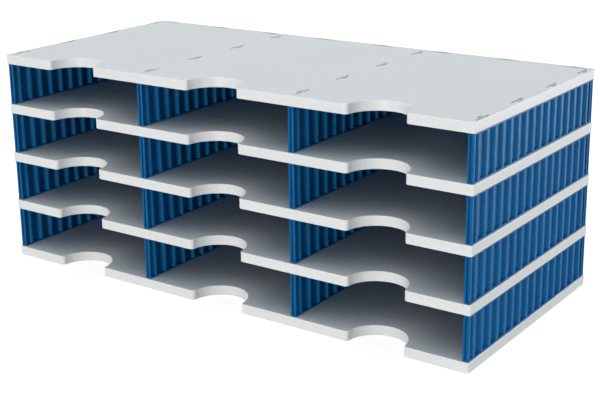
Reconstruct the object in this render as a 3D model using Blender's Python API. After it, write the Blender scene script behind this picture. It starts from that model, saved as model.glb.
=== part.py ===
# Desk sorter with three columns and four levels.
# Five moulded shelves are held apart by corrugated walls, whose tabs plug into slots in the shelves.
# Units are metres. X runs from left to right, Y from front to back and Z up.
# The origin is on the ground under the middle of the sorter.

import math

import bmesh
import bpy

# Layout
COLUMNS = 3
LEVELS = 4
BAY_WIDTH = 0.229             # clear between two walls, the width of a C4 envelope
BAY_HEIGHT = 0.057            # clear between two shelves
DEPTH = 0.331                 # of a shelf, front to back

# Shelf
SHELF_THICKNESS = 0.013
SKIN = 0.003                  # the flat top of a shelf
SKIRT = 0.0025                # its outer rim
RIB = 0.0025                  # stiffening ribs under the skin
BEAM_MARGIN = 0.0055          # solid plastic each side of a line of slots
CORNER_RADIUS = 0.002
CORNER_STEPS = 2

# Finger cut-out in the front edge of every bay
NOTCH_RADIUS = 0.0385
NOTCH_SETBACK = 0.0025        # of its centre behind the front edge
NOTCH_STEPS = 10
NOTCH_LIP_RADIUS = 0.005      # where it runs out into the front edge
NOTCH_LIP_STEPS = 2

# Walls
WALL_THICKNESS = 0.0086
SIDE_OVERHANG = 0.0008        # of the shelf past the outer walls and the back wall
FRONT_SETBACK = 0.0016        # of the walls behind the shelf's front edge
SEAT_GAP = 0.0003             # between pieces that touch
RAIL_HEIGHT = 0.0018          # flat rail along the top and the bottom of a wall
RAIL_PROUD = 0.0002           # of the rail over the web and the posts
POST_DEPTH = 0.006            # rounded upright at a wall's end
POST_RADIUS = 0.0012
POST_STEPS = 1
GROOVE_WIDTH = 0.003          # down the middle of the upright
GROOVE_DEPTH = 0.001

# Corrugated web
WAVE_PITCH = 0.01993
WAVE_DROP = 0.0001            # of the crests under the posts' faces
WEB_ACROSS = 0.0023           # web thickness, measured straight across the wall
FIRST_CREST = 0.0134          # from the front end of a side wall or divider

# Tabs and slots
TAB_EDGE = 0.0245             # from the shelf's edge to the middle of the first tab
TAB_REAR_MARGIN = 0.0008      # from a side wall's last tab to the wall's rear end
TAB_LENGTH = 0.030
TAB_THICKNESS = 0.0016
TAB_REACH = 0.005             # into the shelf
TAB_OFFSET = 0.0021           # of the blade from the middle of the wall
TAB_CLEARANCE = 0.0003        # around the blade in its slot
SIDE_TABS = 4
BACK_TABS = 8

# Sizes that follow
LEVEL_PITCH = BAY_HEIGHT + SHELF_THICKNESS
WIDTH = COLUMNS * BAY_WIDTH + (COLUMNS + 1) * WALL_THICKNESS + 2 * SIDE_OVERHANG
WALL_HEIGHT = BAY_HEIGHT - 2 * SEAT_GAP
FRONT = -DEPTH / 2
BACK_LINE = DEPTH / 2 - SIDE_OVERHANG - WALL_THICKNESS / 2
BACK_WALL_LENGTH = WIDTH - 2 * SIDE_OVERHANG
SIDE_WALL_LENGTH = BACK_LINE - WALL_THICKNESS / 2 - SEAT_GAP - FRONT - FRONT_SETBACK
NOTCH_MOUTH = math.sqrt((NOTCH_RADIUS + NOTCH_LIP_RADIUS) ** 2 - (NOTCH_LIP_RADIUS - NOTCH_SETBACK) ** 2)

GREY = (0.68, 0.71, 0.73, 1.0)
BLUE = (0.010, 0.105, 0.315, 1.0)


def clear_scene():
    for item in list(bpy.data.objects):
        bpy.data.objects.remove(item, do_unlink=True)


def plastic(name, colour, roughness):
    material = bpy.data.materials.new(name)
    material.use_nodes = True
    shader = material.node_tree.nodes["Principled BSDF"]
    shader.inputs["Base Color"].default_value = colour
    shader.inputs["Roughness"].default_value = roughness
    shader.inputs["Metallic"].default_value = 0.0
    material.diffuse_color = colour
    return material


# Plan outlines, as lists of (x, y) that run anticlockwise

def arc(centre_x, centre_y, radius, start, end, steps):
    points = []
    for step in range(steps + 1):
        angle = math.radians(start + (end - start) * step / steps)
        points.append((centre_x + radius * math.cos(angle), centre_y + radius * math.sin(angle)))
    return points


def line_positions():
    # the middle of each wall that runs from front to back
    pitch = BAY_WIDTH + WALL_THICKNESS
    return [pitch * (line - COLUMNS / 2) for line in range(COLUMNS + 1)]


def bay_centres():
    lines = line_positions()
    return [(left + right) / 2 for left, right in zip(lines, lines[1:])]


def notch_outline(centre_x):
    lean = math.degrees(math.asin((NOTCH_LIP_RADIUS - NOTCH_SETBACK) / (NOTCH_RADIUS + NOTCH_LIP_RADIUS)))
    lip_y = FRONT + NOTCH_LIP_RADIUS
    left = arc(centre_x - NOTCH_MOUTH, lip_y, NOTCH_LIP_RADIUS, -90, -lean, NOTCH_LIP_STEPS)
    bowl = arc(centre_x, FRONT + NOTCH_SETBACK, NOTCH_RADIUS, 180 - lean, lean, NOTCH_STEPS)
    right = arc(centre_x + NOTCH_MOUTH, lip_y, NOTCH_LIP_RADIUS, 180 + lean, 270, NOTCH_LIP_STEPS)
    return left[:-1] + bowl + right[1:]


def shelf_outline():
    reach_x = WIDTH / 2 - CORNER_RADIUS
    reach_y = DEPTH / 2 - CORNER_RADIUS
    points = arc(-reach_x, -reach_y, CORNER_RADIUS, 180, 270, CORNER_STEPS)
    for centre_x in bay_centres():
        points += notch_outline(centre_x)
    points += arc(reach_x, -reach_y, CORNER_RADIUS, -90, 0, CORNER_STEPS)
    points += arc(reach_x, reach_y, CORNER_RADIUS, 0, 90, CORNER_STEPS)
    points += arc(-reach_x, reach_y, CORNER_RADIUS, 90, 180, CORNER_STEPS)
    return points


# A wall's own plan lies along +Y from its front end at 0, with X across it

def post_profile():
    # a wall's grooved front end, from its left side round to its right side
    half = WALL_THICKNESS / 2 - RAIL_PROUD
    front = RAIL_PROUD
    left = arc(-half + POST_RADIUS, front + POST_RADIUS, POST_RADIUS, 180, 270, POST_STEPS)
    groove = [(-GROOVE_WIDTH / 2, front), (0, front + GROOVE_DEPTH), (GROOVE_WIDTH / 2, front)]
    right = arc(half - POST_RADIUS, front + POST_RADIUS, POST_RADIUS, -90, 0, POST_STEPS)
    return [(-half, POST_DEPTH)] + left + groove + right + [(half, POST_DEPTH)]


def web_line(crest, start, end):
    # the folds of the web from start to end, where a crest stands on the +X side
    half_pitch = WAVE_PITCH / 2
    swing = (WALL_THICKNESS - WEB_ACROSS) / 2 - RAIL_PROUD - WAVE_DROP

    def across(position):
        folds = (position - crest) / half_pitch
        whole = math.floor(folds)
        side = 1 if whole % 2 == 0 else -1
        return side * swing * (1 - 2 * (folds - whole))

    first = math.floor((start - crest) / half_pitch) + 1
    last = math.ceil((end - crest) / half_pitch) - 1
    folds = [crest + number * half_pitch for number in range(first, last + 1)]
    return [(across(position), position) for position in [start] + folds + [end]]


def web_outline(length, crest, back_post):
    end = length - POST_DEPTH if back_post else length - RAIL_PROUD
    line = web_line(crest, POST_DEPTH, end)
    right = [(x + WEB_ACROSS / 2, y) for x, y in line]
    left = [(x - WEB_ACROSS / 2, y) for x, y in reversed(line)]
    points = post_profile() + right
    if back_post:
        points += [(-x, length - y) for x, y in post_profile()]
    return points + left


def rail_outline(length, back_post):
    half = WALL_THICKNESS / 2
    front = arc(-half + POST_RADIUS, POST_RADIUS, POST_RADIUS, 180, 270, POST_STEPS)
    front += arc(half - POST_RADIUS, POST_RADIUS, POST_RADIUS, -90, 0, POST_STEPS)
    if back_post:
        return front + [(-x, length - y) for x, y in front]
    return front + [(half, length), (-half, length)]


# Solids

def add_prism(mesh, outline, bottom, top):
    corners = [mesh.verts.new((x, y, bottom)) for x, y in outline]
    floor = mesh.faces.new(corners)
    raised = bmesh.ops.extrude_face_region(mesh, geom=[floor])
    moved = [item for item in raised["geom"] if isinstance(item, bmesh.types.BMVert)]
    bmesh.ops.translate(mesh, verts=moved, vec=(0, 0, top - bottom))


def add_block(mesh, low, high):
    outline = [(low[0], low[1]), (high[0], low[1]), (high[0], high[1]), (low[0], high[1])]
    add_prism(mesh, outline, low[2], high[2])


def add_object(name, mesh):
    bmesh.ops.recalc_face_normals(mesh, faces=mesh.faces)
    data = bpy.data.meshes.new(name)
    mesh.to_mesh(data)
    mesh.free()
    item = bpy.data.objects.new(name, data)
    bpy.context.scene.collection.objects.link(item)
    return item


def combine(body, operation, others):
    # carry out the Boolean, and keep its result as a mesh that several pieces can share
    for other in others:
        other.hide_render = True
        other.display_type = "WIRE"
        step = body.modifiers.new(other.name, "BOOLEAN")
        step.operation = operation
        step.solver = "EXACT"
        step.object = other
    graph = bpy.context.evaluated_depsgraph_get()
    result = bpy.data.meshes.new_from_object(body.evaluated_get(graph))
    result.name = body.name
    for used in others + [body]:
        bpy.data.objects.remove(used, do_unlink=True)
    return result


def shared_positions(first, last, count):
    return [first + (last - first) * number / (count - 1) for number in range(count)]


def side_tab_centres():
    rear_end = FRONT + FRONT_SETBACK + SIDE_WALL_LENGTH
    last = rear_end - TAB_REAR_MARGIN - TAB_LENGTH / 2
    return shared_positions(FRONT + TAB_EDGE, last, SIDE_TABS)


def back_tab_centres():
    return shared_positions(-WIDTH / 2 + TAB_EDGE, WIDTH / 2 - TAB_EDGE, BACK_TABS)


def blade_side(number):
    # the front blade stands on the right of its wall and the others on the left, so it goes in one way
    return 1 if number == 0 else -1


def slot_cutter():
    mesh = bmesh.new()
    half_length = TAB_LENGTH / 2 + TAB_CLEARANCE
    half_width = TAB_THICKNESS / 2 + TAB_CLEARANCE
    below = -SHELF_THICKNESS
    above = 2 * SHELF_THICKNESS
    for line in line_positions():
        for number, centre in enumerate(side_tab_centres()):
            x = line + blade_side(number) * TAB_OFFSET
            low = (x - half_width, centre - half_length, below)
            add_block(mesh, low, (x + half_width, centre + half_length, above))
    for centre in back_tab_centres():
        y = BACK_LINE - TAB_OFFSET
        low = (centre - half_length, y - half_width, below)
        add_block(mesh, low, (centre + half_length, y + half_width, above))
    return add_object("slots", mesh)


def pocket_cutter():
    # the hollow underside: two short cells behind each cut-out, and a long one on each side of them
    mesh = bmesh.new()
    below = -SHELF_THICKNESS
    ceiling = SHELF_THICKNESS - SKIN
    back = BACK_LINE - BEAM_MARGIN
    behind_notch = FRONT + NOTCH_SETBACK + NOTCH_RADIUS + SKIRT
    reach = BAY_WIDTH / 2 + WALL_THICKNESS / 2 - BEAM_MARGIN
    outer = NOTCH_MOUTH + SKIRT
    inner = outer - RIB
    for centre_x in bay_centres():
        for side in (-1, 1):
            long_cell = sorted((centre_x + side * outer, centre_x + side * reach))
            short_cell = sorted((centre_x + side * RIB / 2, centre_x + side * inner))
            add_block(mesh, (long_cell[0], FRONT + SKIRT, below), (long_cell[1], back, ceiling))
            add_block(mesh, (short_cell[0], behind_notch, below), (short_cell[1], back, ceiling))
    return add_object("pockets", mesh)


def shelf_mesh():
    mesh = bmesh.new()
    add_prism(mesh, shelf_outline(), 0, SHELF_THICKNESS)
    return combine(add_object("shelf", mesh), "DIFFERENCE", [slot_cutter(), pocket_cutter()])


def wall_rails(length, back_post):
    mesh = bmesh.new()
    outline = rail_outline(length, back_post)
    add_prism(mesh, outline, 0, RAIL_HEIGHT)
    add_prism(mesh, outline, WALL_HEIGHT - RAIL_HEIGHT, WALL_HEIGHT)
    return add_object("rails", mesh)


def wall_tabs(blades):
    # blades are (middle along the wall, middle across it)
    mesh = bmesh.new()
    root = RAIL_HEIGHT / 2
    reach = TAB_REACH - SEAT_GAP
    for along, across in blades:
        for bottom, top in ((-reach, root), (WALL_HEIGHT - root, WALL_HEIGHT + reach)):
            low = (across - TAB_THICKNESS / 2, along - TAB_LENGTH / 2, bottom)
            add_block(mesh, low, (across + TAB_THICKNESS / 2, along + TAB_LENGTH / 2, top))
    return add_object("tabs", mesh)


def wall_mesh(name, length, crest, back_post, blades):
    mesh = bmesh.new()
    root = RAIL_HEIGHT / 2
    add_prism(mesh, web_outline(length, crest, back_post), root, WALL_HEIGHT - root)
    body = add_object(name, mesh)
    return combine(body, "UNION", [wall_rails(length, back_post), wall_tabs(blades)])


def side_wall_mesh():
    start = FRONT + FRONT_SETBACK
    blades = []
    for number, centre in enumerate(side_tab_centres()):
        blades.append((centre - start, blade_side(number) * TAB_OFFSET))
    return wall_mesh("side_wall", SIDE_WALL_LENGTH, FIRST_CREST, False, blades)


def back_wall_mesh():
    # turned a quarter turn when it is placed, so that +X here faces the front there
    blades = []
    for centre in back_tab_centres():
        blades.append((centre + BACK_WALL_LENGTH / 2, TAB_OFFSET))
    return wall_mesh("back_wall", BACK_WALL_LENGTH, BACK_WALL_LENGTH / 2, True, blades)


def place(name, data, material, location, turn=0):
    item = bpy.data.objects.new(name, data)
    item.location = location
    item.rotation_euler = (0, 0, math.radians(turn))
    bpy.context.scene.collection.objects.link(item)
    if material.name not in data.materials:
        data.materials.append(material)
    return item


def finish_mesh(data):
    data.shade_smooth()
    data.set_sharp_from_angle(angle=math.radians(30))


def build():
    clear_scene()
    grey = plastic("shelf_grey", GREY, 0.35)
    blue = plastic("wall_blue", BLUE, 0.32)

    shelf = shelf_mesh()
    side_wall = side_wall_mesh()
    back_wall = back_wall_mesh()
    for data in (shelf, side_wall, back_wall):
        finish_mesh(data)

    for number in range(LEVELS + 1):
        place(f"shelf_{number + 1}", shelf, grey, (0, 0, number * LEVEL_PITCH))

    lines = line_positions()
    for level in range(LEVELS):
        base = level * LEVEL_PITCH + SHELF_THICKNESS + SEAT_GAP
        for number, line in enumerate(lines):
            if number == 0:
                name = "left_wall"
            elif number == COLUMNS:
                name = "right_wall"
            else:
                name = f"divider_{number}"
            spot = (line, FRONT + FRONT_SETBACK, base)
            place(f"{name}_level_{level + 1}", side_wall, blue, spot)
        spot = (-BACK_WALL_LENGTH / 2, BACK_LINE, base)
        place(f"back_wall_level_{level + 1}", back_wall, blue, spot, turn=-90)


build()
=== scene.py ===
import math

import bmesh
import bpy
from mathutils import Matrix, Vector


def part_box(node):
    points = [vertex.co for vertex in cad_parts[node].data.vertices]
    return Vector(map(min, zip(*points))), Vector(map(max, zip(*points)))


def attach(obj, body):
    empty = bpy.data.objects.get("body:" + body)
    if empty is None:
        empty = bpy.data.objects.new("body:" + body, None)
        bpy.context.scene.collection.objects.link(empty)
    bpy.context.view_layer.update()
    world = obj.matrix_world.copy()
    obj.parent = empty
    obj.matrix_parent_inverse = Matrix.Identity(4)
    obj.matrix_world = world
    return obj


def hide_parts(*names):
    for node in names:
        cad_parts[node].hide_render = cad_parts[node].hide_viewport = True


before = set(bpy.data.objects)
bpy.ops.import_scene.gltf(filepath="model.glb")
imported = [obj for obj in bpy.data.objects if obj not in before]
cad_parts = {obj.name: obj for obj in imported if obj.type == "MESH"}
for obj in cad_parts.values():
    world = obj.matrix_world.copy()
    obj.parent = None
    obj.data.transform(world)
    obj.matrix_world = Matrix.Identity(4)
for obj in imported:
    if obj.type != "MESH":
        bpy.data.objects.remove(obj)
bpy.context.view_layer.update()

shelfLow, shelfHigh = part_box("shelf_1")
levelCount = sum(name.startswith("back_wall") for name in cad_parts)
wallNames = ["left_wall", "divider_1", "divider_2", "right_wall"]


# Camera: metres and degrees, turned about the upright axis, then tilted, then rolled
view = {
    "place": (0.9506, -1.3284, 0.6199),
    "turn": 35.10,
    "tilt": -16.02,
    "roll": -0.73,
    "lens": 75.04,
    "sensor": 36.0,
    "shiftY": -0.06,
}


def makeCamera():
    data = bpy.data.cameras.new("viewpoint")
    data.lens = view["lens"]
    data.sensor_width = view["sensor"]
    data.shift_y = view["shiftY"]
    camera = bpy.data.objects.new("viewpoint", data)
    bpy.context.scene.collection.objects.link(camera)
    turn = Matrix.Rotation(math.radians(view["turn"]), 4, "Z")
    tilt = Matrix.Rotation(math.radians(90 + view["tilt"]), 4, "X")
    roll = Matrix.Rotation(math.radians(view["roll"]), 4, "Z")
    camera.matrix_world = Matrix.Translation(view["place"]) @ turn @ tilt @ roll
    bpy.context.scene.camera = camera


# Studio: a soft white room with its light overhead and a faint band low all round, over a white sweep.
# Two far lamps stand level with the object, and a third gives gloss alone.
# Each stop of the room has its height, from 0 at the horizon to 1 overhead, its tint and its level.
# Lamps are in metres and watts.
studio = {
    "room": (
        (0.00, (1.00, 1.00, 1.00), 0.0),
        (0.01, (1.08, 1.00, 0.92), 7.0),
        (0.07, (1.08, 1.00, 0.92), 0.0),
        (0.35, (0.60, 1.00, 1.25), 0.1),
        (0.70, (0.82, 0.98, 1.08), 0.90),
        (1.00, (1.02, 1.00, 0.99), 1.62),
    ),
    "floorSize": 30.0,
    "floorDrop": 0.0001,
    "floorTone": (0.50, 0.50, 0.50, 1.0),
    "floorLift": 0.72,  # what the camera sees on top of the lit floor, so that it reads as white
    "lamps": {
        "front": {
            "place": (1.25, -7.9, 0.15),
            "aim": (0.0, 0.0, 0.15),
            "size": (1.3, 0.26),
            "tint": (1.0, 0.98, 0.945),
            "power": 340.0,
            "glossOnly": False,
        },
        "right": {
            "place": (8.0, 0.8, 0.15),
            "aim": (0.0, 0.0, 0.15),
            "size": (2.4, 0.26),
            "tint": (1.0, 0.98, 0.945),
            "power": 115.0,
            "glossOnly": False,
        },
        "gleam": {
            "place": (1.7, 1.2, 0.08),
            "aim": (0.36, 0.0, 0.12),
            "size": (1.1, 0.14),
            "tint": (0.97, 0.97, 1.0),
            "power": 39.0,
            "glossOnly": True,
        },
    },
}


def makeLamp(name, values):
    data = bpy.data.lights.new(name, "AREA")
    data.shape = "RECTANGLE"
    data.size, data.size_y = values["size"]
    data.energy = values["power"]
    data.color = values["tint"]
    lamp = bpy.data.objects.new(name, data)
    lamp.location = values["place"]
    lamp.rotation_mode = "QUATERNION"
    lamp.rotation_quaternion = (Vector(values["place"]) - Vector(values["aim"])).to_track_quat("Z", "Y")
    lamp.visible_camera = False
    lamp.visible_diffuse = not values["glossOnly"]
    bpy.context.scene.collection.objects.link(lamp)


def seenDirectly(nodes, links):
    # 1 for rays from the camera, off gloss or through glass, and 0 for the light that falls on the object
    path = nodes.new("ShaderNodeLightPath")
    first = nodes.new("ShaderNodeMath")
    first.operation = "MAXIMUM"
    links.new(path.outputs["Is Camera Ray"], first.inputs[0])
    links.new(path.outputs["Is Glossy Ray"], first.inputs[1])
    second = nodes.new("ShaderNodeMath")
    second.operation = "MAXIMUM"
    links.new(first.outputs[0], second.inputs[0])
    links.new(path.outputs["Is Transmission Ray"], second.inputs[1])
    return second.outputs[0]


def makeWorld():
    world = bpy.data.worlds.new("studioAir")
    world.use_nodes = True
    nodes, links = world.node_tree.nodes, world.node_tree.links
    nodes.clear()
    direction = nodes.new("ShaderNodeTexCoord")
    parts = nodes.new("ShaderNodeSeparateXYZ")
    links.new(direction.outputs["Generated"], parts.inputs[0])
    room = nodes.new("ShaderNodeValToRGB")
    stops = room.color_ramp.elements
    while len(stops) < len(studio["room"]):
        stops.new(0.5)
    for stop, (height, tint, level) in zip(stops, studio["room"]):
        stop.position = height
        stop.color = [level * share for share in tint] + [1.0]
    links.new(parts.outputs["Z"], room.inputs[0])
    shown = nodes.new("ShaderNodeMix")
    shown.data_type = "RGBA"
    shown.inputs[7].default_value = (1, 1, 1, 1)
    links.new(seenDirectly(nodes, links), shown.inputs["Factor"])
    links.new(room.outputs[0], shown.inputs[6])
    air = nodes.new("ShaderNodeBackground")
    links.new(shown.outputs[2], air.inputs["Color"])
    out = nodes.new("ShaderNodeOutputWorld")
    links.new(air.outputs[0], out.inputs["Surface"])
    bpy.context.scene.world = world


def makeFloor():
    mesh = bmesh.new()
    bmesh.ops.create_grid(mesh, x_segments=1, y_segments=1, size=studio["floorSize"] / 2)
    bmesh.ops.translate(mesh, verts=mesh.verts, vec=(0, 0, -studio["floorDrop"]))
    floor = addPiece("studioFloor", mesh)
    material = bpy.data.materials.new("sweepWhite")
    material.use_nodes = True
    nodes, links = material.node_tree.nodes, material.node_tree.links
    nodes.clear()
    matt = nodes.new("ShaderNodeBsdfDiffuse")
    matt.inputs["Color"].default_value = studio["floorTone"]
    lift = nodes.new("ShaderNodeMath")
    lift.operation = "MULTIPLY"
    lift.inputs[1].default_value = studio["floorLift"]
    links.new(seenDirectly(nodes, links), lift.inputs[0])
    glow = nodes.new("ShaderNodeEmission")
    links.new(lift.outputs[0], glow.inputs["Strength"])
    both = nodes.new("ShaderNodeAddShader")
    links.new(matt.outputs[0], both.inputs[0])
    links.new(glow.outputs[0], both.inputs[1])
    out = nodes.new("ShaderNodeOutputMaterial")
    links.new(both.outputs[0], out.inputs["Surface"])
    floor.data.materials.append(material)


# Shader groups that both plastics use

def newGroup(name, inputs, outputs):
    group = bpy.data.node_groups.new(name, "ShaderNodeTree")
    for label, kind, value in inputs:
        socket = group.interface.new_socket(label, in_out="INPUT", socket_type=kind)
        socket.default_value = value
    for label, kind in outputs:
        group.interface.new_socket(label, in_out="OUTPUT", socket_type=kind)
    return group, group.nodes.new("NodeGroupInput"), group.nodes.new("NodeGroupOutput")


def addNoise(group, coordinates, scale, detail):
    noise = group.nodes.new("ShaderNodeTexNoise")
    noise.inputs["Detail"].default_value = detail
    group.links.new(coordinates.outputs["Object"], noise.inputs["Vector"])
    group.links.new(scale, noise.inputs["Scale"])
    return noise.outputs["Fac"]


def feed(group, value, socket):
    # a value is a number or the output of another node
    if isinstance(value, bpy.types.NodeSocket):
        group.links.new(value, socket)
    else:
        socket.default_value = value


def addMath(group, operation, first, second):
    node = group.nodes.new("ShaderNodeMath")
    node.operation = operation
    feed(group, first, node.inputs[0])
    feed(group, second, node.inputs[1])
    return node.outputs[0]


def addRange(group, value, span, levels):
    # spreads what lies in the span between two levels
    node = group.nodes.new("ShaderNodeMapRange")
    group.links.new(value, node.inputs["Value"])
    node.inputs["From Min"].default_value, node.inputs["From Max"].default_value = span
    feed(group, levels[0], node.inputs["To Min"])
    feed(group, levels[1], node.inputs["To Max"])
    return node.outputs[0]


# How the two patterns are made, for both plastics
patterns = {
    "grainDetail": 2.0,
    "waveDetail": 1.0,
    "cloudDetail": 3.0,
    "cloudRange": (0.3, 0.7),  # the part of a noise that the effect is spread over
    "scuffDetail": 4.0,
    "scuffRange": (0.3, 0.7),
    "scuffRatio": 14.0,  # how much finer scuffs are than clouds
    "rubAndSheenRange": (0.35, 0.65),
}


def makeGrainGroup():
    # the fine spark-eroded grain of the mould, with the slow waviness of a cooled panel under it
    inputs = [
        ("Grain Size", "NodeSocketFloat", 1500.0),
        ("Wave Size", "NodeSocketFloat", 18.0),
        ("Wave Share", "NodeSocketFloat", 0.5),
    ]
    group, start, finish = newGroup("mouldGrain", inputs, [("Height", "NodeSocketFloat")])
    place = group.nodes.new("ShaderNodeTexCoord")
    grain = addNoise(group, place, start.outputs["Grain Size"], patterns["grainDetail"])
    wave = addNoise(group, place, start.outputs["Wave Size"], patterns["waveDetail"])
    mixed = group.nodes.new("ShaderNodeMix")
    group.links.new(start.outputs["Wave Share"], mixed.inputs["Factor"])
    group.links.new(grain, mixed.inputs["A"])
    group.links.new(wave, mixed.inputs["B"])
    group.links.new(mixed.outputs["Result"], finish.inputs["Height"])
    return group


def makeHandlingAndSheenGroup():
    # cloudy change of tone and gloss from handling and cleaning, and a paler tone on rubbed edges, which on
    # the walls' rib tops is partly a painted highlight
    inputs = [
        ("Tone", "NodeSocketColor", (0.5, 0.5, 0.5, 1.0)),
        ("Rub And Sheen Tone", "NodeSocketColor", (0.6, 0.6, 0.6, 1.0)),
        ("Cloud Size", "NodeSocketFloat", 9.0),
        ("Cloud Depth", "NodeSocketFloat", 0.05),
        ("Rub And Sheen", "NodeSocketFloat", 0.4),
        ("Gloss Low", "NodeSocketFloat", 0.3),
        ("Gloss High", "NodeSocketFloat", 0.4),
    ]
    outputs = [("Colour", "NodeSocketColor"), ("Roughness", "NodeSocketFloat")]
    group, start, finish = newGroup("handlingAndSheen", inputs, outputs)
    place = group.nodes.new("ShaderNodeTexCoord")
    cloud = addNoise(group, place, start.outputs["Cloud Size"], patterns["cloudDetail"])
    finer = addMath(group, "MULTIPLY", start.outputs["Cloud Size"], patterns["scuffRatio"])
    scuff = addNoise(group, place, finer, patterns["scuffDetail"])

    darkest = addMath(group, "SUBTRACT", 1.0, start.outputs["Cloud Depth"])
    tinted = group.nodes.new("ShaderNodeVectorMath")
    tinted.operation = "SCALE"
    group.links.new(start.outputs["Tone"], tinted.inputs[0])
    clouded = addRange(group, cloud, patterns["cloudRange"], (darkest, 1.0))
    group.links.new(clouded, tinted.inputs["Scale"])

    mask = group.nodes.new("ShaderNodeAttribute")
    mask.attribute_name = "rubAndSheen"
    patchy = addRange(group, scuff, patterns["rubAndSheenRange"], (0.0, 1.0))
    broken = addMath(group, "MULTIPLY", mask.outputs["Fac"], patchy)
    mixed = group.nodes.new("ShaderNodeMix")
    mixed.data_type = "RGBA"
    group.links.new(addMath(group, "MULTIPLY", broken, start.outputs["Rub And Sheen"]), mixed.inputs["Factor"])
    group.links.new(tinted.outputs[0], mixed.inputs[6])
    group.links.new(start.outputs["Rub And Sheen Tone"], mixed.inputs[7])
    group.links.new(mixed.outputs[2], finish.inputs["Colour"])

    levels = (start.outputs["Gloss Low"], start.outputs["Gloss High"])
    gloss = addRange(group, scuff, patterns["scuffRange"], levels)
    group.links.new(gloss, finish.inputs["Roughness"])
    return group


# Finishes: every value of a plastic that a user would change
finishes = {
    "shelfGrey": {
        "slot": "shelf_grey",
        "specular": 0.2,
        "bump": 0.02,
        "bumpDistance": 0.00012,
        "grain": {"Grain Size": 1500.0, "Wave Size": 20.0, "Wave Share": 0.35},
        "handlingAndSheen": {
            "Tone": (0.690, 0.697, 0.697, 1.0),
            "Rub And Sheen Tone": (0.76, 0.77, 0.78, 1.0),
            "Cloud Size": 7.0,
            "Cloud Depth": 0.035,
            "Rub And Sheen": 0.5,
            "Gloss Low": 0.31,
            "Gloss High": 0.38,
        },
    },
    "wallBlue": {
        "slot": "wall_blue",
        "specular": 0.1,
        "bump": 0.02,
        "bumpDistance": 0.00012,
        "grain": {"Grain Size": 1700.0, "Wave Size": 30.0, "Wave Share": 0.3},
        "handlingAndSheen": {
            "Tone": (0.0005, 0.104, 0.285, 1.0),
            # the paler tone is rubbing on rims, and on the ribs' tops it is partly a painted highlight along
            # each rib
            "Rub And Sheen Tone": (0.03, 0.17, 0.43, 1.0),
            "Cloud Size": 11.0,
            "Cloud Depth": 0.10,
            "Rub And Sheen": 0.5,
            "Gloss Low": 0.37,
            "Gloss High": 0.43,
        },
    },
}


def makePlastic(name, grainGroup, handlingAndSheenGroup):
    # a plain moulded plastic, with the grain as its bump and the handling as its colour and gloss
    values = finishes[name]
    material = bpy.data.materials.new(name)
    material.use_nodes = True
    nodes, links = material.node_tree.nodes, material.node_tree.links
    shader = nodes["Principled BSDF"]
    shader.inputs["Metallic"].default_value = 0.0
    shader.inputs["Specular IOR Level"].default_value = values["specular"]
    grain = nodes.new("ShaderNodeGroup")
    grain.node_tree = grainGroup
    handlingAndSheen = nodes.new("ShaderNodeGroup")
    handlingAndSheen.node_tree = handlingAndSheenGroup
    for node, key in ((grain, "grain"), (handlingAndSheen, "handlingAndSheen")):
        for label, value in values[key].items():
            node.inputs[label].default_value = value
    bump = nodes.new("ShaderNodeBump")
    bump.inputs["Strength"].default_value = values["bump"]
    bump.inputs["Distance"].default_value = values["bumpDistance"]
    links.new(grain.outputs["Height"], bump.inputs["Height"])
    links.new(bump.outputs["Normal"], shader.inputs["Normal"])
    links.new(handlingAndSheen.outputs["Colour"], shader.inputs["Base Color"])
    links.new(handlingAndSheen.outputs["Roughness"], shader.inputs["Roughness"])
    return material


# Distances and angles that decide how meshes are joined and shaded.
# A face's slope is the height of its normal, from 0 on an upright face to 1 on a level one.
meshing = {
    "merge": 1e-6,
    "cut": 1e-7,
    "softAngle": 35,  # degrees, the widest edge that shades smooth
    "uprightSlope": 0.05,  # at most this on an upright side
    "endSlope": 0.9,  # at least this on an end that gets rounded rims
    "levelSlope": 0.99,  # at least this on a level face
}


# Drawing: a pen leaves edges behind it on the plan, which are filled and raised into a solid

def penDown(mesh, x, y):
    return mesh.verts.new((x, y, 0))


def penLine(mesh, tip, x, y):
    grown = bmesh.ops.extrude_vert_indiv(mesh, verts=[tip])
    end = grown["verts"][0]
    end.co = (x, y, 0)
    return end


def penArc(mesh, tip, centre, angle, steps):
    spun = bmesh.ops.spin(
        mesh, geom=[tip], cent=(centre[0], centre[1], 0), axis=(0, 0, 1),
        angle=math.radians(angle), steps=steps, use_duplicate=False,
    )
    return [item for item in spun["geom_last"] if isinstance(item, bmesh.types.BMVert)][0]


def penClose(mesh, tip, start):
    mesh.edges.new((tip, start))
    return bmesh.ops.edgeloop_fill(mesh, edges=mesh.edges)["faces"]


def raiseFaces(mesh, faces, bottom, top):
    bmesh.ops.translate(mesh, verts=mesh.verts, vec=(0, 0, bottom))
    raised = bmesh.ops.extrude_face_region(mesh, geom=faces)
    tops = [item for item in raised["geom"] if isinstance(item, bmesh.types.BMVert)]
    bmesh.ops.translate(mesh, verts=tops, vec=(0, 0, top - bottom))
    bmesh.ops.recalc_face_normals(mesh, faces=mesh.faces)


def roundRims(mesh, radius, steps):
    # rounds the edges between the flat ends and the upright sides
    mesh.normal_update()
    rims = []
    for edge in mesh.edges:
        flat = [abs(face.normal.z) > meshing["endSlope"] for face in edge.link_faces]
        if flat[0] != flat[1]:
            rims.append(edge)
    bevelEdges(mesh, rims, radius, steps)


def bevelEdges(mesh, edges, radius, steps):
    bmesh.ops.bevel(
        mesh, geom=edges, offset=radius, segments=steps, profile=0.5, affect="EDGES", material=-1,
    )


def addBlock(mesh, low, high):
    cube = bmesh.ops.create_cube(mesh, size=1)
    low, high = Vector(low), Vector(high)
    bmesh.ops.scale(mesh, verts=cube["verts"], vec=high - low)
    bmesh.ops.translate(mesh, verts=cube["verts"], vec=(low + high) / 2)


def addPiece(name, mesh):
    data = bpy.data.meshes.new(name)
    mesh.to_mesh(data)
    mesh.free()
    piece = bpy.data.objects.new(name, data)
    bpy.context.scene.collection.objects.link(piece)
    return piece


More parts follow.
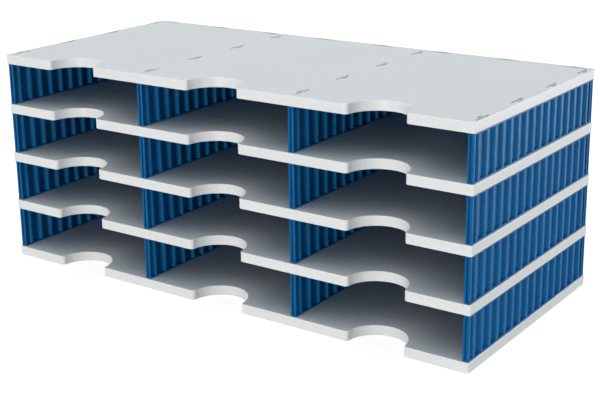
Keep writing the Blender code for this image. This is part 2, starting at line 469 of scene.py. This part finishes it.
def combine(body, operation, others):
    # carries out the Boolean and gives back its mesh alone
    for other in others:
        step = body.modifiers.new(other.name, "BOOLEAN")
        step.operation = operation
        step.solver = "EXACT"
        step.object = other
    graph = bpy.context.evaluated_depsgraph_get()
    result = bpy.data.meshes.new_from_object(body.evaluated_get(graph))
    for used in [body] + others:
        bpy.data.objects.remove(used, do_unlink=True)
    mesh = bmesh.new()
    mesh.from_mesh(result)
    bmesh.ops.remove_doubles(mesh, verts=mesh.verts, dist=meshing["merge"])
    bmesh.ops.dissolve_degenerate(mesh, edges=mesh.edges, dist=meshing["merge"])
    mesh.to_mesh(result)
    mesh.free()
    return result


def isRounded(face):
    return meshing["uprightSlope"] < abs(face.normal.z) < meshing["levelSlope"]


def finishMesh(data, getsRubAndSheen):
    # smooth between soft edges, and a mask on the faces that hands and paper rub, with the walls' rib tops
    # in it too, where its paler tone is partly a painted highlight
    data.shade_smooth()
    data.set_sharp_from_angle(angle=math.radians(meshing["softAngle"]))
    mask = data.attributes.new("rubAndSheen", "FLOAT", "FACE")
    for face in data.polygons:
        mask.data[face.index].value = 1.0 if getsRubAndSheen(face) else 0.0


def setInPlace(name, data, matrix, material, node):
    copy = data.copy()
    copy.transform(matrix)
    copy.materials.clear()
    copy.materials.append(material)
    piece = bpy.data.objects.new(name, copy)
    bpy.context.scene.collection.objects.link(piece)
    even = piece.modifiers.new("evenShading", "WEIGHTED_NORMAL")
    even.keep_sharp = True
    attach(piece, "root")
    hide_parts(node)


# Tabs and slots: shared by the shelves and the walls
tabs = {
    "sideCount": 4,
    "backCount": 8,
    "edge": 0.0245,  # from the shelf's edge to the middle of the first tab
    "rearMargin": 0.0008,
    "length": 0.030,
    "thickness": 0.0016,
    "reach": 0.0047,
    "offset": 0.0021,
    "clearance": 0.0003,
    "lugLength": 0.0115,  # the short second blade beside the long one
}


def spread(first, last, count):
    return [first + (last - first) * number / (count - 1) for number in range(count)]


def sideTabCentres():
    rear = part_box("left_wall_level_1")[1].y - tabs["rearMargin"] - tabs["length"] / 2
    return spread(shelfLow.y + tabs["edge"], rear, tabs["sideCount"])


def backTabCentres():
    return spread(shelfLow.x + tabs["edge"], shelfHigh.x - tabs["edge"], tabs["backCount"])


def bladeSide(number):
    return 1 if number == 0 else -1  # only the front blade stands on the right


def middle(node):
    low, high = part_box(node)
    return (low + high) / 2


# Shelf: a thin skin with a deep rim, ribs beneath, and a cut-out for the fingers in each column
shelf = {
    "skin": 0.003,
    "skirt": 0.0025,
    "rib": 0.0025,
    "beamMargin": 0.0055,
    "cornerRadius": 0.0022,
    "cornerSteps": 6,
    "notchRadius": 0.0385,
    "notchSetback": 0.0025,
    "notchSteps": 56,
    "lipRadius": 0.005,
    "lipSteps": 10,
    "rimRadius": 0.0007,
    "rimSteps": 3,
}


def bayCentres():
    lines = [middle(f"{name}_level_1").x for name in wallNames]
    return [(left + right) / 2 for left, right in zip(lines, lines[1:])]


def notchShape():
    # how far the cut-out's sides lean, in degrees, and half its width where its lips begin
    reach = shelf["notchRadius"] + shelf["lipRadius"]
    lean = math.asin((shelf["lipRadius"] - shelf["notchSetback"]) / reach)
    return math.degrees(lean), reach * math.cos(lean)


def drawShelf(mesh):
    corner, cornerSteps = shelf["cornerRadius"], shelf["cornerSteps"]
    lip, lipSteps = shelf["lipRadius"], shelf["lipSteps"]
    left, front = shelfLow.x, shelfLow.y
    right, rear = shelfHigh.x, shelfHigh.y
    lean, mouth = notchShape()
    start = penDown(mesh, left, front + corner)
    tip = penArc(mesh, start, (left + corner, front + corner), 90, cornerSteps)
    for centre in bayCentres():
        tip = penLine(mesh, tip, centre - mouth, front)
        tip = penArc(mesh, tip, (centre - mouth, front + lip), 90 - lean, lipSteps)
        tip = penArc(mesh, tip, (centre, front + shelf["notchSetback"]), 2 * lean - 180, shelf["notchSteps"])
        tip = penArc(mesh, tip, (centre + mouth, front + lip), 90 - lean, lipSteps)
    tip = penLine(mesh, tip, right - corner, front)
    tip = penArc(mesh, tip, (right - corner, front + corner), 90, cornerSteps)
    tip = penLine(mesh, tip, right, rear - corner)
    tip = penArc(mesh, tip, (right - corner, rear - corner), 90, cornerSteps)
    tip = penLine(mesh, tip, left + corner, rear)
    tip = penArc(mesh, tip, (left + corner, rear - corner), 90, cornerSteps)
    return penClose(mesh, tip, start)


def cutSlots(mesh, top):
    width = tabs["thickness"] / 2 + tabs["clearance"]
    long = tabs["length"] / 2 + tabs["clearance"]
    short = tabs["lugLength"] / 2 + tabs["clearance"]
    for name in wallNames:
        line = middle(f"{name}_level_1").x
        for number, centre in enumerate(sideTabCentres()):
            for reach, side in ((long, bladeSide(number)), (short, -bladeSide(number))):
                x = line + side * tabs["offset"]
                addBlock(mesh, (x - width, centre - reach, -top), (x + width, centre + reach, 2 * top))
    line = middle("back_wall_level_1").y
    for centre in backTabCentres():
        for reach, side in ((long, -1), (short, 1)):
            y = line + side * tabs["offset"]
            addBlock(mesh, (centre - reach, y - width, -top), (centre + reach, y + width, 2 * top))


def cutPockets(mesh, top):
    ceiling = top - shelf["skin"]
    back = middle("back_wall_level_1").y - shelf["beamMargin"]
    behindNotch = shelfLow.y + shelf["notchSetback"] + shelf["notchRadius"] + shelf["skirt"]
    centres = bayCentres()
    reach = middle("divider_1_level_1").x - centres[0] - shelf["beamMargin"]
    outer = notchShape()[1] + shelf["skirt"]
    inner = outer - shelf["rib"]
    for centre in centres:
        for side in (-1, 1):
            long = sorted((centre + side * outer, centre + side * reach))
            short = sorted((centre + side * shelf["rib"] / 2, centre + side * inner))
            addBlock(mesh, (long[0], shelfLow.y + shelf["skirt"], -top), (long[1], back, ceiling))
            addBlock(mesh, (short[0], behindNotch, -top), (short[1], back, ceiling))


def makeShelves(material):
    top = shelfHigh.z - shelfLow.z
    mesh = bmesh.new()
    raiseFaces(mesh, drawShelf(mesh), 0, top)
    roundRims(mesh, shelf["rimRadius"], shelf["rimSteps"])
    body = addPiece("shelfBlank", mesh)
    slots = bmesh.new()
    cutSlots(slots, top)
    pockets = bmesh.new()
    cutPockets(pockets, top)
    data = combine(body, "DIFFERENCE", [addPiece("slots", slots), addPiece("pockets", pockets)])
    finishMesh(data, isRounded)
    for number in range(1, levelCount + 2):
        node = f"shelf_{number}"
        lift = Matrix.Translation((0, 0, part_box(node)[0].z))
        setInPlace(f"{node}_panel", data, lift, material, node)
    print("shelves made:", levelCount + 1, "each of", len(data.polygons), "faces")


# Wall: a ribbed web between two rails, with an upright of two round beads at its end.
# Its own plan lies along +Y from its front end at 0, with X across it.
wall = {
    "seatGap": 0.0003,
    "ribPitch": 0.01993,
    "firstRib": 0.0134,
    "ribRise": 0.0044,
    "ribTop": 0.0014,
    "ribLean": 45,  # degrees, of the flanks
    "ribRadius": 0.0022,
    "footRadius": 0.0010,
    "ribSteps": 5,
    "ribInset": 0.0003,  # of the tops behind the rails' faces
    "topDepth": 0.0009,  # how far in from the rails' faces a face still counts as a rib's top
    "railHeight": 0.0018,
    "railRound": 0.0002,
    "railSteps": 3,
    "railProud": 0.0002,
    "webRoot": 0.5,  # share of the rail that the web and the uprights run into
    "tabRoot": 0.4,  # the same for the tabs
    "postDepth": 0.0060,
    "beadRadius": 0.0014,
    "beadSteps": 5,
    "grooveDepth": 0.0026,
}


def drawRib(mesh, tip, face, place, side):
    # foot, rounded top and foot again along one face; side -1 draws it turned half round, for the other face
    rise, radius, top = wall["ribRise"], wall["ribRadius"], wall["ribTop"] / 2
    footRadius, lean = wall["footRadius"], math.radians(wall["ribLean"])
    bent = radius + footRadius
    foot = top + bent * math.sin(lean) + (rise - bent * (1 - math.cos(lean))) / math.tan(lean)
    high, low = face - radius, face - rise + footRadius
    # each bend has its centre, which way it turns and the angle at which it starts
    bends = ((low, -foot, -1, 0), (high, -top, 1, -lean), (high, top, 1, 0), (low, foot, -1, lean))
    for x, y, turn, start in bends:
        reach = radius if turn > 0 else -footRadius
        across, along = x + reach * math.cos(start), place + y + reach * math.sin(start)
        tip = penLine(mesh, tip, side * across, side * along)
        tip = penArc(mesh, tip, (side * x, side * (place + y)), turn * wall["ribLean"], wall["ribSteps"])
    return tip


def makeWeb(thickness, height, rib, first, last):
    # both faces are drawn on the plan, the ribs of one between those of the other,
    # then raised and trimmed at both ends
    mesh = bmesh.new()
    pitch = wall["ribPitch"]
    face = thickness / 2 - wall["ribInset"]
    deep = face - wall["ribRise"]
    number = math.floor((first - rib) / pitch) - 1
    ribs = [rib + pitch * number]
    while ribs[-1] < last + pitch / 2:
        ribs.append(ribs[-1] + pitch)
    between = [place + pitch / 2 for place in ribs[:-1]]
    start = tip = penDown(mesh, deep, ribs[0] - pitch / 2)
    for place in ribs:
        tip = drawRib(mesh, tip, face, place, 1)
    tip = penLine(mesh, tip, deep, ribs[-1] + pitch / 2)
    tip = penLine(mesh, tip, -face, ribs[-1] + pitch / 2)
    for place in reversed(between):
        tip = drawRib(mesh, tip, face, -place, -1)
    tip = penLine(mesh, tip, -face, ribs[0] - pitch / 2)
    root = wall["railHeight"] * wall["webRoot"]
    raiseFaces(mesh, penClose(mesh, tip, start), root, height - root)
    for place, outward in ((first, -1), (last, 1)):
        cut = bmesh.ops.bisect_plane(
            mesh, geom=mesh.verts[:] + mesh.edges[:] + mesh.faces[:], dist=meshing["cut"],
            plane_co=(0, place, 0), plane_no=(0, outward, 0), clear_outer=True,
        )
        edges = [item for item in cut["geom_cut"] if isinstance(item, bmesh.types.BMEdge)]
        bmesh.ops.edgeloop_fill(mesh, edges=edges)
    bmesh.ops.recalc_face_normals(mesh, faces=mesh.faces)
    return addPiece("web", mesh)


def makePost(thickness, height, length, atBack):
    # two round beads with a deep groove between them, at the front end or turned round at the back end
    mesh = bmesh.new()
    front, bead, steps = wall["railProud"], wall["beadRadius"], wall["beadSteps"]
    beadLine = thickness / 2 - wall["railProud"] - bead  # from the wall's middle to the middle of a bead
    groove = beadLine - bead
    start = penDown(mesh, -beadLine, wall["postDepth"])
    tip = penLine(mesh, start, -beadLine, front + 2 * bead)
    tip = penArc(mesh, tip, (-beadLine, front + bead), 270, 3 * steps)
    tip = penLine(mesh, tip, -groove, front + wall["grooveDepth"])
    tip = penLine(mesh, tip, groove, front + wall["grooveDepth"])
    tip = penLine(mesh, tip, groove, front + bead)
    tip = penArc(mesh, tip, (beadLine, front + bead), 270, 3 * steps)
    tip = penLine(mesh, tip, beadLine, wall["postDepth"])
    root = wall["railHeight"] * wall["webRoot"]
    raiseFaces(mesh, penClose(mesh, tip, start), root, height - root)
    if atBack:
        halfTurn = Matrix.Rotation(math.pi, 3, "Z")
        bmesh.ops.rotate(mesh, verts=mesh.verts, cent=(0, length / 2, 0), matrix=halfTurn)
    return addPiece("post", mesh)


def makeRails(thickness, height, length, backPost):
    # their corners are rounded where an upright stands
    half, bead, steps = thickness / 2, wall["beadRadius"], wall["beadSteps"]
    rails = []
    for bottom in (0, height - wall["railHeight"]):
        mesh = bmesh.new()
        start = penDown(mesh, -half, bead)
        tip = penArc(mesh, start, (-half + bead, bead), 90, steps)
        tip = penLine(mesh, tip, half - bead, 0)
        tip = penArc(mesh, tip, (half - bead, bead), 90, steps)
        if backPost:
            tip = penLine(mesh, tip, half, length - bead)
            tip = penArc(mesh, tip, (half - bead, length - bead), 90, steps)
            tip = penLine(mesh, tip, -half + bead, length)
            tip = penArc(mesh, tip, (-half + bead, length - bead), 90, steps)
        else:
            tip = penLine(mesh, tip, half, length)
            tip = penLine(mesh, tip, -half, length)
        raiseFaces(mesh, penClose(mesh, tip, start), bottom, bottom + wall["railHeight"])
        roundRims(mesh, wall["railRound"], wall["railSteps"])
        rails.append(addPiece("rail", mesh))
    return rails


def makeTabs(height, blades):
    # a blade is its middle along the wall, its middle across it and its length
    mesh = bmesh.new()
    root = wall["railHeight"] * wall["tabRoot"]
    for along, across, length in blades:
        for bottom, top in ((-tabs["reach"], root), (height - root, height + tabs["reach"])):
            low = (across - tabs["thickness"] / 2, along - length / 2, bottom)
            addBlock(mesh, low, (across + tabs["thickness"] / 2, along + length / 2, top))
    return addPiece("tabs", mesh)


def makeWall(thickness, length, rib, backPost, blades):
    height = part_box("shelf_2")[0].z - shelfHigh.z - 2 * wall["seatGap"]
    inset = wall["postDepth"] / 2
    last = length - inset if backPost else length - wall["railProud"]
    body = makeWeb(thickness, height, rib, inset, last)
    others = [makePost(thickness, height, length, False)]
    if backPost:
        others.append(makePost(thickness, height, length, True))
    others += makeRails(thickness, height, length, backPost)
    others.append(makeTabs(height, blades))
    data = combine(body, "UNION", others)
    topFace = thickness / 2 - wall["topDepth"]

    # rims take the paler tone as rubbing; the ribs' tops take it partly as rubbing and partly as a painted
    # highlight along each rib
    def getsRubAndSheen(face):
        isRibTop = abs(face.normal.z) < meshing["uprightSlope"] and abs(face.center.x) > topFace
        return isRounded(face) or isRibTop

    finishMesh(data, getsRubAndSheen)
    return data


def makeWalls(material):
    sideLow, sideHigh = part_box("left_wall_level_1")
    blades = []
    for number, centre in enumerate(sideTabCentres()):
        side = bladeSide(number) * tabs["offset"]
        blades.append((centre - sideLow.y, side, tabs["length"]))
        blades.append((centre - sideLow.y, -side, tabs["lugLength"]))
    sideWall = makeWall(sideHigh.x - sideLow.x, sideHigh.y - sideLow.y, wall["firstRib"], False, blades)
    print("side wall made of", len(sideWall.polygons), "faces")

    backLow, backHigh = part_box("back_wall_level_1")
    blades = []
    for centre in backTabCentres():
        blades.append((centre - backLow.x, tabs["offset"], tabs["length"]))
        blades.append((centre - backLow.x, -tabs["offset"], tabs["lugLength"]))
    length = backHigh.x - backLow.x
    backWall = makeWall(backHigh.y - backLow.y, length, length / 2, True, blades)
    print("back wall made of", len(backWall.polygons), "faces")

    turned = Matrix.Rotation(math.radians(-90), 4, "Z")
    for level in range(1, levelCount + 1):
        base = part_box(f"shelf_{level}")[1].z + wall["seatGap"]
        for name in wallNames:
            node = f"{name}_level_{level}"
            place = Matrix.Translation((middle(node).x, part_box(node)[0].y, base))
            setInPlace(f"{node}_corrugated", sideWall, place, material, node)
        node = f"back_wall_level_{level}"
        place = Matrix.Translation((backLow.x, middle(node).y, base)) @ turned
        setInPlace(f"{node}_corrugated", backWall, place, material, node)
    print("walls made:", levelCount * (len(wallNames) + 1))


makeCamera()
makeWorld()
makeFloor()
for lampName, lampValues in studio["lamps"].items():
    makeLamp(lampName, lampValues)
print("studio ready")

grainGroup = makeGrainGroup()
handlingAndSheenGroup = makeHandlingAndSheenGroup()
makeShelves(makePlastic("shelfGrey", grainGroup, handlingAndSheenGroup))
makeWalls(makePlastic("wallBlue", grainGroup, handlingAndSheenGroup))

bpy.context.scene.view_settings.view_transform = "Standard"
